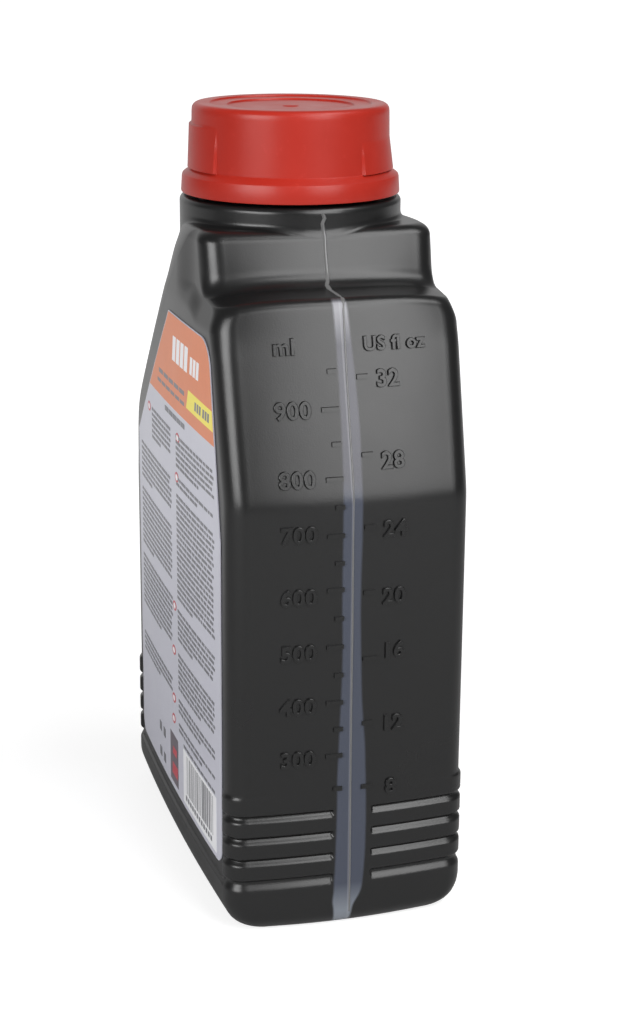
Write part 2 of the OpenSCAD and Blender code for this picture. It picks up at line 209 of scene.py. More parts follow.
def depth(z):
    """Half the depth at the corners, ribs included."""
    rib = RIB_PROUD * ease((RIB_TOP_Z - z) / 1.2)
    return HALF_D - drop(BASE_FACE_R, z) - rim_inset(z) + rib


def lean_in(x, z):
    """How far a label face lies inside its lower part above the crease."""
    share = ease((x - 6) / 14)
    near = CREASE_LEAN * ease((z - CREASE_Z) / CREASE_H)
    return share * near + (1 - share) * FAR_LEAN * max(0.0, z - CREASE_Z) / (SHOULDER_Z - CREASE_Z)


def groove(z):
    """Depth of the grooves at a height: a soft upper edge and a crisper lower one."""
    deep = 0.0
    for i in range(GROOVES):
        mid = GROOVE_Z + i * GROOVE_PITCH
        down = LAST_GROOVE_DOWN if i == 0 else GROOVE_DOWN
        if z >= mid:
            share = 1 - ease((z - mid) / GROOVE_UP)
        else:
            share = 1 - ease((mid - z) / down)
        deep = max(deep, share)
    return GROOVE_DEPTH * deep


def panel(z):
    return RIB_PROUD * min(ease((z - BAND_Z) / 0.8), ease((RIB_TOP_Z - z) / 1.2))


def side_x(y, z):
    """The scale side's own surface, at a place across it and a height."""
    c2 = near_x(z) - CORNER_R
    half = depth(z) + swell(c2) - lean_in(c2, z) - CORNER_R
    return near_x(z) + SIDE_SWELL * (1 - min(1.0, (y / half) ** 2))


def label_y(x, proud):
    """The label's outer surface, and what is printed proud of it."""
    return -(HALF_D + swell(x) + GLUE_GAP + LABEL_T + proud)


def ring(z, inside):
    """One closed level of the body, as a list of (x, y). inside is the wall's thickness or 0."""
    zz = min(z + inside, SHOULDER_Z - 0.05) if inside else z
    r = CORNER_R - inside
    x2 = near_x(zz) - inside
    d = depth(z) - inside - (RIB_PROUD if inside and z < RIB_TOP_Z else 0)
    c2 = x2 - r
    c1 = min(far_x(zz) + inside + r, c2 - 1)
    e1 = d + swell(c1) - lean_in(c1, zz) - r
    e2 = d + swell(c2) - lean_in(c2, zz) - r
    w = ease((zz - FAR_LOW_Z) / FAR_BLEND_H)
    far_a = c1 - far_end_x(zz) - inside
    far_b = e1 + r
    g = 0.0 if inside else groove(z)
    p = 0.0 if inside else panel(z)

    # A label face, from the far corner to the near one
    width = c2 - c1
    margins = [0, 0.25, 0.5, 0.8, 1.1, 1.5, 2.2]
    if width < 12:
        margins = [m * width / 12 for m in margins]
    inner = [margins[-1] + (width - 2 * margins[-1]) * i / 30 for i in range(1, 30)]
    steps = margins + inner + [width - m for m in reversed(margins)]
    face = []
    for s in steps:
        share = ease((min(s, width - s) - 0.15) / 1.1)
        sunk = g * (1 - share) + p * share
        face.append((c1 + s, d + swell(c1 + s) - lean_in(c1 + s, zz) - sunk))

    low = STRIP_MID - STRIP_GAP / 2
    high = STRIP_MID + STRIP_GAP / 2
    fade = [1.0, 0.75, 0.5, 0.25]
    ys = [-e2 + (low - 1.2 + e2) * i / 14 for i in range(15)]
    ys += [low - f for f in fade] + [low, low + 2.2, STRIP_MID, high - 2.2, high]
    ys += [high + f for f in reversed(fade)]
    ys += [high + 1.2 + (e2 - high - 1.2) * i / 14 for i in range(15)]

    def side(y):
        share = ease((max(low - y, y - high) - 0.05) / 0.9)
        return (x2 - g * share + SIDE_SWELL * (1 - (y / e2) ** 2), y)

    turn = 9
    points = [(x, -y) for x, y in face]
    for i in range(1, turn):
        a = math.radians(-90 + 90 * i / turn)
        points.append((c2 + (r - g) * math.cos(a), -e2 + (r - g) * math.sin(a)))
    points += [side(y) for y in ys]
    for i in range(1, turn):
        a = math.radians(90 * i / turn)
        points.append((c2 + (r - g) * math.cos(a), e2 + (r - g) * math.sin(a)))
    points += list(reversed(face))
    flat = []
    for i in range(1, turn):
        a = math.radians(90 + 90 * i / turn)
        flat.append((c1 + (r - g) * math.cos(a), e1 + (r - g) * math.sin(a)))
    for i in range(41):
        y = e1 * (1 - i / 20)
        flat.append((c1 - r + g - SIDE_SWELL * (1 - (y / e1) ** 2), y))
    for i in range(1, turn):
        a = math.radians(180 + 90 * i / turn)
        flat.append((c1 + (r - g) * math.cos(a), -e1 + (r - g) * math.sin(a)))
    n = len(flat)
    for i, (fx, fy) in enumerate(flat):
        a = math.radians(90 + 180 * (i + 1) / (n + 1))
        ex, ey = c1 + far_a * math.cos(a), far_b * math.sin(a)
        points.append((fx * (1 - w) + ex * w, fy * (1 - w) + ey * w))
    return points


def outer_levels():
    levels = [BASE_FACE_R * (1 - math.cos(math.radians(5 * i))) for i in range(19)]
    z = BASE_FACE_R + 0.4
    while z < RIB_TOP_Z + 0.3:
        levels.append(z)
        z += 0.35
    levels += [RIB_TOP_Z + 0.6 + (FAR_LOW_Z - 8 - RIB_TOP_Z) * i / 12 for i in range(13)]
    start = FAR_LOW_Z - 6.5
    top = RIM_MID_Z + RIM_R * LEAN_SIN
    levels += [start + (top - start) * i / 46 for i in range(47)]
    lean = math.atan(LEAN_RUN)
    levels += [RIM_MID_Z + RIM_R * math.sin(lean + (math.pi / 2 - lean) * i / 12) for i in range(1, 13)]
    levels += [FILLET_MID_Z - FILLET_R * math.sin(lean + (math.pi / 2 - lean) * (14 - i) / 14)
               for i in range(15)]
    return levels


def soft_max(a, b, soft):
    share = max(0.0, soft - abs(a - b)) / soft
    return max(a, b) + share * share * soft / 4


def skin_point(x, y, z):
    """A point of the outer skin, arched at the ledge and swelled where the shoulder nears the collar."""
    reach = math.hypot(x - NECK_X, y)
    least = COLLAR_R - 6 * (1 - ease((z - ROUND_Z + 10) / 14))
    grow = soft_max(reach, least, 1.0) / reach
    return NECK_X + (x - NECK_X) * grow, y * grow, z - arch(x, y, z)


# Crown: the shoulder's rim, its top and the collar as one soft surface

def crown_line(points):
    """One upright line of the crown, sharp at the collar's foot, and the length along it up to that foot."""
    line = [points[0]]
    for point in points[1:]:
        last = line[-1]
        reach = math.hypot(point.x - NECK_X, point.y)
        if reach < COLLAR_R:
            last_reach = math.hypot(last.x - NECK_X, last.y)
            line.append(last.lerp(point, max(0.0, last_reach - COLLAR_R) / (last_reach - reach)))
            break
        line.append(point)
    end = line[-1]
    a = math.atan2(end.y, end.x - NECK_X)
    foot = Vector((NECK_X + COLLAR_R * math.cos(a), COLLAR_R * math.sin(a), end.z))
    line.append(foot)
    length = sum((q - p).length for p, q in zip(line, line[1:]))
    line.append(Vector((foot.x, foot.y, COLLAR_SIDE_Z)))
    return line, length


def point_along(line, s):
    for p, q in zip(line, line[1:]):
        step = (q - p).length
        if s <= step and step > 0:
            return p.lerp(q, max(0.0, s) / step)
        s -= step
    return line[-1]


def crown_rows():
    """Rows of points from the ledge's hollow up to the collar's edge, with a soft hollow at its foot."""
    levels = [FILLET_TOP_Z + (TOP_MID_Z - FILLET_TOP_Z) * i / 5 for i in range(6)]
    levels += [TOP_MID_Z + TOP_RIM_R * math.sin(math.radians(5 * i)) for i in range(1, 19)]
    rings = [[Vector((x, y, z - arch(x, y, z))) for x, y in ring(z, 0)] for z in levels]
    rings[0] = [Vector(skin_point(x, y, levels[0])) for x, y in ring(levels[0], 0)]
    rows = [[] for _ in range(CROWN_STEPS + COLLAR_STEPS)]
    for i in range(len(rings[0])):
        line, foot = crown_line([level[i] for level in rings])
        rest = COLLAR_SIDE_Z - line[-2].z
        lengths = [foot * k / CROWN_STEPS for k in range(1, CROWN_STEPS + 1)]
        lengths += [foot + rest * k / COLLAR_STEPS for k in range(1, COLLAR_STEPS + 1)]
        for row, s in zip(rows, lengths):
            away = abs(s - foot)
            window = HOLLOW_REACH * ease(1.3 - away / HOLLOW_REACH)
            window *= ease(s / 3)
            window *= ease((foot + rest - s) / 2)
            total, weight = Vector((0, 0, 0)), 0.0
            for t in range(-6, 7):
                share = 7 - abs(t)
                total += point_along(line, s + window * t / 6) * share
                weight += share
            row.append(total / weight)
    return rows


def inner_levels():
    low = WALL + BASE_HOLLOW
    levels = [low, low + 1, low + 2.5, BASE_SIDE_R + WALL, BASE_FACE_R + WALL]
    levels += [RIB_TOP_Z, RIB_TOP_Z + 1]
    levels += [FAR_LOW_Z - 6 + (CREASE_Z - WALL - FAR_LOW_Z + 6) * i / 12 for i in range(13)]
    levels += [RIM_MID_Z, LEDGE_Z - 1.8, LEDGE_Z - 0.2, LEDGE_Z + 1.5, LEDGE_Z + 3.2]
    return levels + [FILLET_TOP_Z, TOP_MID_Z, SHOULDER_Z - 2.4]


# Mesh helpers

def make_piece(name, verts, faces, body, material, sharp=35.0):
    """A mesh piece in millimetres that rides on a body, smooth apart from its sharp edges."""
    mesh = bpy.data.meshes.new(name)
    mesh.from_pydata([(x * MM, y * MM, z * MM) for x, y, z in verts], [], faces)
    mesh.validate()
    mesh.update()
    mesh.shade_smooth()
    mesh.set_sharp_from_angle(angle=math.radians(sharp))
    piece = bpy.data.objects.new(name, mesh)
    bpy.context.scene.collection.objects.link(piece)
    mesh.materials.append(material)
    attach(piece, body)
    return piece


def bridge(faces, a, b, n, flip=False):
    """Quads between two closed rings of n points that start at a and b."""
    for i in range(n):
        j = (i + 1) % n
        quad = (a + i, a + j, b + j, b + i)
        faces.append(tuple(reversed(quad)) if flip else quad)


def arc(cx, cz, r, start, end, steps):
    out = []
    for i in range(steps + 1):
        a = math.radians(start + (end - start) * i / steps)
        out.append((cx + r * math.cos(a), cz + r * math.sin(a)))
    return out


# Materials

def new_material(name):
    material = bpy.data.materials.new(name)
    material.use_nodes = True
    tree = material.node_tree
    tree.nodes.clear()
    out = tree.nodes.new("ShaderNodeOutputMaterial")
    shader = tree.nodes.new("ShaderNodeBsdfPrincipled")
    tree.links.new(shader.outputs["BSDF"], out.inputs["Surface"])
    return material, tree, shader


def object_coords(tree):
    return tree.nodes.new("ShaderNodeTexCoord").outputs["Object"]


def noise(tree, coords, scale, detail=3.0, rough=0.5):
    node = tree.nodes.new("ShaderNodeTexNoise")
    node.inputs["Scale"].default_value = scale
    node.inputs["Detail"].default_value = detail
    node.inputs["Roughness"].default_value = rough
    tree.links.new(coords, node.inputs["Vector"])
    return node.outputs["Fac"]


def math_node(tree, kind, a, b=None, clamp=False):
    node = tree.nodes.new("ShaderNodeMath")
    node.operation = kind
    node.use_clamp = clamp
    for socket, value in zip(node.inputs, (a, b)):
        if value is None:
            continue
        if isinstance(value, (int, float)):
            socket.default_value = value
        else:
            tree.links.new(value, socket)
    return node.outputs[0]


def map_range(tree, value, low, high, to_low=0.0, to_high=1.0, smooth=False):
    node = tree.nodes.new("ShaderNodeMapRange")
    if smooth:
        node.interpolation_type = "SMOOTHSTEP"
    tree.links.new(value, node.inputs["Value"])
    node.inputs["From Min"].default_value = low
    node.inputs["From Max"].default_value = high
    node.inputs["To Min"].default_value = to_low
    node.inputs["To Max"].default_value = to_high
    return node.outputs["Result"]


def mix_color(tree, share, a, b):
    node = tree.nodes.new("ShaderNodeMix")
    node.data_type = "RGBA"
    tree.links.new(share, node.inputs["Factor"])
    for socket, value in ((node.inputs["A"], a), (node.inputs["B"], b)):
        if isinstance(value, tuple):
            socket.default_value = value + (1.0,)
        else:
            tree.links.new(value, socket)
    return node.outputs["Result"]


def curve_node(tree, value, places):
    """A soft curve through places from 0 to 1."""
    node = tree.nodes.new("ShaderNodeFloatCurve")
    curve = node.mapping.curves[0]
    while len(curve.points) < len(places):
        curve.points.new(0.5, 0.5)
    for point, place in zip(curve.points, places):
        point.location = place
    node.mapping.update()
    tree.links.new(value, node.inputs["Value"])
    return node.outputs[0]


def bump(tree, shader, height, strength, distance):
    node = tree.nodes.new("ShaderNodeBump")
    node.inputs["Strength"].default_value = strength
    node.inputs["Distance"].default_value = distance
    tree.links.new(height, node.inputs["Height"])
    tree.links.new(node.outputs["Normal"], shader.inputs["Normal"])


def blown_plastic(name, colour, with_strip):
    """Satin black polyethylene with a fine blown grain, and the see-through strip down the scale side."""
    material, tree, shader = new_material(name)
    coords = object_coords(tree)
    cloud = noise(tree, coords, 22.0, 4.0)
    grain = noise(tree, coords, 2600.0, 2.0)
    waves = noise(tree, coords, 60.0, 2.0)
    rough = map_range(tree, cloud, 0.3, 0.7, 0.27, 0.33)
    shader.inputs["Specular IOR Level"].default_value = 0.5
    dark = tuple(c * 0.8 for c in colour)
    base = mix_color(tree, cloud, dark, colour)
    if with_strip:
        base, rough = strip_colours(tree, coords, base, rough)
    tree.links.new(base, shader.inputs["Base Color"])
    tree.links.new(rough, shader.inputs["Roughness"])
    height = math_node(tree, "ADD", math_node(tree, "MULTIPLY", grain, 0.35), waves)
    bump(tree, shader, height, 0.35, 0.00012)
    return material


def strip_colours(tree, coords, base, rough):
    """The strip: milky above the oil, blue-grey below it, wider towards the foot, with soft wavy edges."""
    split = tree.nodes.new("ShaderNodeSeparateXYZ")
    tree.links.new(coords, split.inputs[0])
    x, y, z = split.outputs
    up = map_range(tree, z, 0.0, 0.160)
    widths = [(0.0, 0.44), (0.03, 0.52), (0.08, 0.80), (0.24, 0.78), (0.45, 0.52), (0.72, 0.52), (1.0, 0.37)]
    half = math_node(tree, "MULTIPLY", curve_node(tree, up, widths), 0.005)
    middles = [(0.0, 0.0), (0.03, 0.05), (0.07, 0.40), (0.15, 0.52), (0.34, 0.50), (0.62, 0.40), (0.84, 0.56),
               (1.0, 0.35)]
    middle = map_range(tree, curve_node(tree, up, middles), 0.0, 1.0, -0.002, 0.002)
    drift = math_node(tree, "SUBTRACT", noise(tree, coords, 45.0, 2.0), 0.5)
    wobble = math_node(tree, "MULTIPLY", drift, 0.0006)
    away = math_node(tree, "ABSOLUTE", math_node(tree, "ADD", math_node(tree, "SUBTRACT", y, middle), wobble))
    edge = math_node(tree, "SUBTRACT", half, away)
    share = map_range(tree, edge, -0.0002, 0.0006, 0.0, 1.0, smooth=True)
    near = map_range(tree, x, 0.030, 0.034, 0.0, 1.0)
    low = map_range(tree, z, 0.1595, 0.1585, 0.0, 1.0)
    share = math_node(tree, "MULTIPLY", math_node(tree, "MULTIPLY", share, near), low)
    oil = (0.046, 0.053, 0.075)
    air = (0.19, 0.19, 0.21)
    haze = (0.030, 0.030, 0.045)
    tone = mix_color(tree, map_range(tree, z, 0.1125, 0.118, 0.0, 1.0), oil, haze)
    tone = mix_color(tree, map_range(tree, z, 0.149, 0.157, 0.0, 1.0), tone, air)
    tone = mix_color(tree, map_range(tree, z, 0.012, 0.002, 0.0, 1.0), tone, (0.20, 0.22, 0.25))
    # A narrow lighter line just beside the strip's middle, next to the parting line: a painted highlight.
    line = math_node(tree, "ABSOLUTE", math_node(tree, "SUBTRACT", y, -0.0004))
    lit = map_range(tree, line, 0.0003, 0.0001, 0.0, 0.25)
    tone = mix_color(tree, lit, tone, (0.30, 0.30, 0.32))
    strip_share = math_node(tree, "MULTIPLY", share, 0.96)
    out = mix_color(tree, strip_share, base, tone)
    smoother = math_node(tree, "SUBTRACT", rough, math_node(tree, "MULTIPLY", share, 0.08))
    return out, smoother


def cap_plastic(name, colour):
    """Satin red polypropylene: fine moulded grain and faint handling marks."""
    material, tree, shader = new_material(name)
    coords = object_coords(tree)
    cloud = noise(tree, coords, 90.0, 4.0)
    grain = noise(tree, coords, 2200.0, 2.0)
    scuff = noise(tree, coords, 340.0, 6.0, 0.7)
    shader.inputs["Specular IOR Level"].default_value = 0.3
    dark = tuple(c * 0.86 for c in colour)
    worn = tuple(min(1.0, c * 1.25 + 0.02) for c in colour)
    base = mix_color(tree, cloud, dark, colour)
    base = mix_color(tree, map_range(tree, scuff, 0.60, 0.72, 0.0, 0.35), base, worn)
    tree.links.new(base, shader.inputs["Base Color"])
    tree.links.new(map_range(tree, cloud, 0.3, 0.7, 0.30, 0.38), shader.inputs["Roughness"])
    height = math_node(tree, "ADD", math_node(tree, "MULTIPLY", grain, 0.4), scuff)
    bump(tree, shader, height, 0.25, 0.0001)
    return material


def printed_film(name, colour, roughness=0.34, fleck=0.03):
    """Printed polypropylene film: a slight mottle in the ink under a satin varnish."""
    material, tree, shader = new_material(name)
    coords = object_coords(tree)
    mottle = noise(tree, coords, 700.0, 3.0)
    wave = noise(tree, coords, 30.0, 2.0)
    dark = tuple(max(0.0, c * (1 - fleck)) for c in colour)
    light = tuple(min(1.0, c * (1 + fleck)) for c in colour)
    tree.links.new(mix_color(tree, mottle, dark, light), shader.inputs["Base Color"])
    rough = map_range(tree, wave, 0.3, 0.7, roughness - 0.04, roughness + 0.04)
    tree.links.new(rough, shader.inputs["Roughness"])
    bump(tree, shader, wave, 0.1, 0.0002)
    return material


def foil_metal(name, colour):
    material, tree, shader = new_material(name)
    coords = object_coords(tree)
    crinkle = noise(tree, coords, 260.0, 4.0, 0.6)
    shader.inputs["Metallic"].default_value = 1.0
    dark = tuple(c * 0.9 for c in colour)
    tree.links.new(mix_color(tree, crinkle, dark, colour), shader.inputs["Base Color"])
    tree.links.new(map_range(tree, crinkle, 0.3, 0.7, 0.22, 0.34), shader.inputs["Roughness"])
    bump(tree, shader, crinkle, 0.4, 0.0002)
    return material


def foam(name, colour):
    material, tree, shader = new_material(name)
    coords = object_coords(tree)
    cells = tree.nodes.new("ShaderNodeTexVoronoi")
    cells.inputs["Scale"].default_value = 1800.0
    tree.links.new(coords, cells.inputs["Vector"])
    dark = tuple(c * 0.9 for c in colour)
    tree.links.new(mix_color(tree, cells.outputs["Distance"], dark, colour), shader.inputs["Base Color"])
    shader.inputs["Roughness"].default_value = 0.85
    bump(tree, shader, cells.outputs["Distance"], 0.3, 0.0002)
    return material


# Settings

class BottleColours(bpy.types.PropertyGroup):
    """Colours of the bottle's plastics and of its label."""

    body: bpy.props.FloatVectorProperty(
        name="Body", description="Black plastic of the body", size=3, min=0, max=1,
        default=(0.0065, 0.0065, 0.0067), subtype="COLOR")
    cap: bpy.props.FloatVectorProperty(
        name="Cap", description="Red plastic of the cap", size=3, min=0, max=1,
        default=(0.37, 0.020, 0.011), subtype="COLOR")
    label: bpy.props.FloatVectorProperty(
        name="Label", description="Ground colour of the labels", size=3, min=0, max=1,
        default=(0.53, 0.53, 0.60), subtype="COLOR")
    header: bpy.props.FloatVectorProperty(
        name="Header", description="Head field of the labels", size=3, min=0, max=1,
        default=(0.66, 0.18, 0.055), subtype="COLOR")
    flash: bpy.props.FloatVectorProperty(
        name="Flash", description="Band that tells the grade", size=3, min=0, max=1,
        default=(0.85, 0.72, 0.06), subtype="COLOR")
    ink: bpy.props.FloatVectorProperty(
        name="Ink", description="Small print on the labels", size=3, min=0, max=1,
        default=(0.14, 0.14, 0.155), subtype="COLOR")


class BottleMarks(bpy.types.PropertyGroup):
    """The raised volume scale."""

    proud: bpy.props.FloatProperty(
        name="Relief", description="How far the marks stand out", default=0.45 * MM, unit="LENGTH")
    digit_height: bpy.props.FloatProperty(
        name="Digit height", description="Height of the numbers", default=4.2 * MM, unit="LENGTH")


def body_material():
    return bpy.data.materials.get("black_polyethylene") or blown_plastic(
        "black_polyethylene", tuple(bpy.context.scene.bottle_colours.body), True)


def plain_black():
    return bpy.data.materials.get("black_polyethylene_plain") or blown_plastic(
        "black_polyethylene_plain", tuple(bpy.context.scene.bottle_colours.body), False)


# Lighter black for the parting line: its lift over the body's black is a painted highlight, for light caught
# on the seam's crest.
def worn_black():
    return bpy.data.materials.get("seam_highlight_polyethylene") or blown_plastic(
        "seam_highlight_polyethylene", tuple(0.14 + c for c in bpy.context.scene.bottle_colours.body), False)


def film_of(name, colour, **more):
    return bpy.data.materials.get(name) or printed_film(name, colour, **more)


def dress_node(node, material):
    """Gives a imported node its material."""
    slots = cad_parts[node].data.materials
    slots.clear()
    slots.append(material)


# Pieces

class OBJECT_OT_bottle_skin(bpy.types.Operator):
    """Builds the blown body with its ribs, panels, shoulder, collar and neck"""

    bl_idname = "object.bottle_skin"
    bl_label = "Bottle skin"

    def execute(self, context):
        verts, faces = [], []
        rings = []
        for z in outer_levels():
            rings.append((len(verts), ring(z, 0)))
            verts += [skin_point(x, y, z) for x, y in rings[-1][1]]
        n = len(rings[0][1])
        for (a, _), (b, _) in zip(rings, rings[1:]):
            bridge(faces, a, b, n)

        # Underside: the foot, the step up and the shallow hollow
        previous = rings[0][0]
        first = rings[0][1]
        half_x = HALF_W - BASE_SIDE_R
        half_y = HALF_D - BASE_FACE_R
        for share, z in ((0.92, 0.0), (0.86, 0.0), (0.84, 0.35), (0.81, BASE_HOLLOW), (0.5, BASE_HOLLOW),
                         (0.2, BASE_HOLLOW)):
            start = len(verts)
            inset_x = half_x * (1 - share) * 0.6
            for x, y in first:
                sx = 1 - inset_x / half_x
                verts.append((x * sx if share > 0.8 else x * share, y * share, z))
            bridge(faces, start, previous, n)
            previous = start
        faces.append(tuple(previous + n - 1 - i for i in range(n)))

        # Crown and collar, the neck up to its lip, and down the inside
        previous = rings[-1][0]
        rows = crown_rows()
        angles = [math.atan2(point.y, point.x - NECK_X) for point in rows[-1]]
        wide = COLLAR_R - WALL - FAR_SKIN
        profile = arc(COLLAR_R - COLLAR_EDGE_R, COLLAR_Z - COLLAR_EDGE_R, COLLAR_EDGE_R, 0, 90, 6)[1:]
        profile += [(NECK_R + 0.4, COLLAR_Z), (NECK_R, COLLAR_Z + 0.4), (NECK_R, COLLAR_Z + 1)]
        profile += [(NECK_R + 0.7, COLLAR_Z + 1.1), (NECK_R + 1, COLLAR_Z + 1.4)]
        profile += [(NECK_R + 1, COLLAR_Z + 2.2), (NECK_R + 0.7, COLLAR_Z + 2.5), (NECK_R, COLLAR_Z + 2.6)]
        profile += [(NECK_R, LIP_Z - 0.5), (NECK_R - 0.15, LIP_Z - 0.15), (NECK_R - 0.5, LIP_Z)]
        profile += [(BORE_R + 0.4, LIP_Z), (BORE_R, LIP_Z - 0.4), (BORE_R, COLLAR_Z - WALL)]
        profile += [(wide, COLLAR_Z - WALL - 3), (wide, SHOULDER_Z - 2)]
        rows += [[(NECK_X + r * math.cos(a), r * math.sin(a), z) for a in angles] for r, z in profile]
        rows += [[(x, y, z - arch(x, y, z)) for x, y in ring(z, WALL)] for z in reversed(inner_levels())]
        for row in rows:
            start = len(verts)
            verts += [tuple(point) for point in row]
            bridge(faces, previous, start, n)
            previous = start
        faces.append(tuple(previous + i for i in range(n)))

        skin = make_piece("bottle_skin", verts, faces, "bottle_body", body_material(), 38.0)
        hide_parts("bottle")
        return {"FINISHED"}


def sweep(name, path, section, body, material):
    """A closed bar along a path: path gives (point, side, out) and section gives (side, out) places."""
    verts, faces = [], []
    n = len(section)
    for point, side, out, scale in path:
        for s, o in section:
            verts.append(tuple(p + side[i] * s * scale + out[i] * o * scale for i, p in enumerate(point)))
    for k in range(len(path) - 1):
        bridge(faces, k * n, (k + 1) * n, n)
    faces.append(tuple(range(n - 1, -1, -1)))
    last = (len(path) - 1) * n
    faces.append(tuple(last + i for i in range(n)))
    return make_piece(name, verts, faces, body, material, 50.0)


class OBJECT_OT_bottle_parting_line(bpy.types.Operator):
    """Adds the thin wavy line where the two mould halves met, down the scale side"""

    bl_idname = "object.bottle_parting_line"
    bl_label = "Parting line"

    @staticmethod
    def crown_x(crown, z):
        for p, q in zip(crown, crown[1:]):
            if p.z <= z <= q.z:
                return p.x + (q.x - p.x) * (z - p.z) / max(0.001, q.z - p.z)
        return min(crown, key=lambda q: abs(q.z - z)).x

    def execute(self, context):
        places = [(177.4, 0.3), (176.8, 0.6), (176.2, 0.75), (175.0, 0.25), (172.3, 0.7), (168.8, 0.55),
                  (166.0, 0.6), (163.2, 0.65), (161.6, 0.3), (160.9, -0.2), (160.3, -0.3), (159.9, 0.2),
                  (159.4, 0.8), (156.9, 0.4), (150.0, 0.3), (140.7, 0.15), (129.2, 0.05), (117.6, 0.0),
                  (112.5, -0.1), (100, -0.2), (80, -0.1), (60, -0.15), (40, -0.1), (20, 0.0), (4, 0.0)]
        rows = crown_rows()
        column = min(range(len(rows[0])), key=lambda i: abs(rows[0][i].y) + (100 if rows[0][i].x < 0 else 0))
        crown = [row[column] for row in rows]
        zs = sorted(set([z for z, _ in places] + [156.9 + 0.25 * i for i in range(13)]
                        + [177.2 - 0.4 * i for i in range(40)]), reverse=True)
        path = []
        for z in zs:
            y = 0.0
            for (za, ya), (zb, yb) in zip(places, places[1:]):
                if zb <= z <= za:
                    y = ya + (yb - ya) * (za - z) / (za - zb)
            x = side_x(y, z)
            if z > FILLET_TOP_Z:
                x = self.crown_x(crown, z)
            size = 1.0 if z > 158.6 else 0.5
            path.append(((x - 0.03, y, z), (0, 1, 0), (1, 0, 0), size))
        section = [(-0.62, -0.12), (-0.36, 0.14), (-0.16, 0.46), (0.16, 0.46), (0.36, 0.14), (0.62, -0.12)]
        # The parting line's lighter black is a painted highlight along its crest.
        sweep("parting_line", path, section, "bottle_body", worn_black())
        return {"FINISHED"}


def helix(name, r, crest, z0, turns, body, material, start=0.0):
    """A screw thread round the neck's axis, tapered away at both ends."""
    path = []
    steps = int(turns * 72)
    for i in range(steps + 1):
        a = start + 2 * math.pi * turns * i / steps
        ends = min(1.0, 0.02 + min(i, steps - i) / 9)
        point = (NECK_X + r * math.cos(a), r * math.sin(a), z0 + THREAD_PITCH * turns * i / steps)
        path.append((point, (0, 0, 1), (math.cos(a), math.sin(a), 0), ends))
    way = 1 if crest > 0 else -1
    section = [(-1.0, -0.15 * way), (-0.35, crest), (0.35, crest), (1.0, -0.15 * way)]
    if way < 0:
        section.reverse()
    return sweep(name, path, section, body, material)


class OBJECT_OT_bottle_thread(bpy.types.Operator):
    """Adds the screw thread on the neck and the one inside the cap, half a pitch apart"""

    bl_idname = "object.bottle_thread"
    bl_label = "Screw thread"

    def execute(self, context):
        helix("neck_thread", NECK_R, 0.62, 183.4, 2.4, "bottle_body", plain_black())
        helix("cap_thread", CAP_IN_R, -0.55, 185.4, 2.0, "cap_body", red_material())
        return {"FINISHED"}


def red_material():
    return bpy.data.materials.get("red_polypropylene") or cap_plastic(
        "red_polypropylene", tuple(bpy.context.scene.bottle_colours.cap))


# Grip lands of the cap: from and to angle in degrees from +X, top height, and how sharply it ends there
GRIP_TURN = -16.4
LANDS = ((45.0, 135.0, 193.6, 0.0), (225.0, 315.0, 197.0, 1.0))
LAND_OUT = 0.9
LAND_EDGE = 1.1


def land_height(z, a):
    """How far a land stands out of the cap's wall at a height and an angle."""
    deg = (math.degrees(a) - GRIP_TURN) % 360
    out = 0.0
    for start, end, top, crisp in LANDS:
        if start <= deg <= end:
            edge = min(1.0, (min(deg - start, end - deg)) / LAND_EDGE)
            share = min(1.0, max(0.0, (top - z) / (top - WALL_Z)))
            wedge = share
            if crisp:
                inner = ease((end - deg) / 28)
                step = (0.72 + 0.28 * share) * ease((top - z) / 0.5)
                wedge = share * (1 - inner) + step * inner
            out = max(out, LAND_OUT * edge * wedge)
    return out


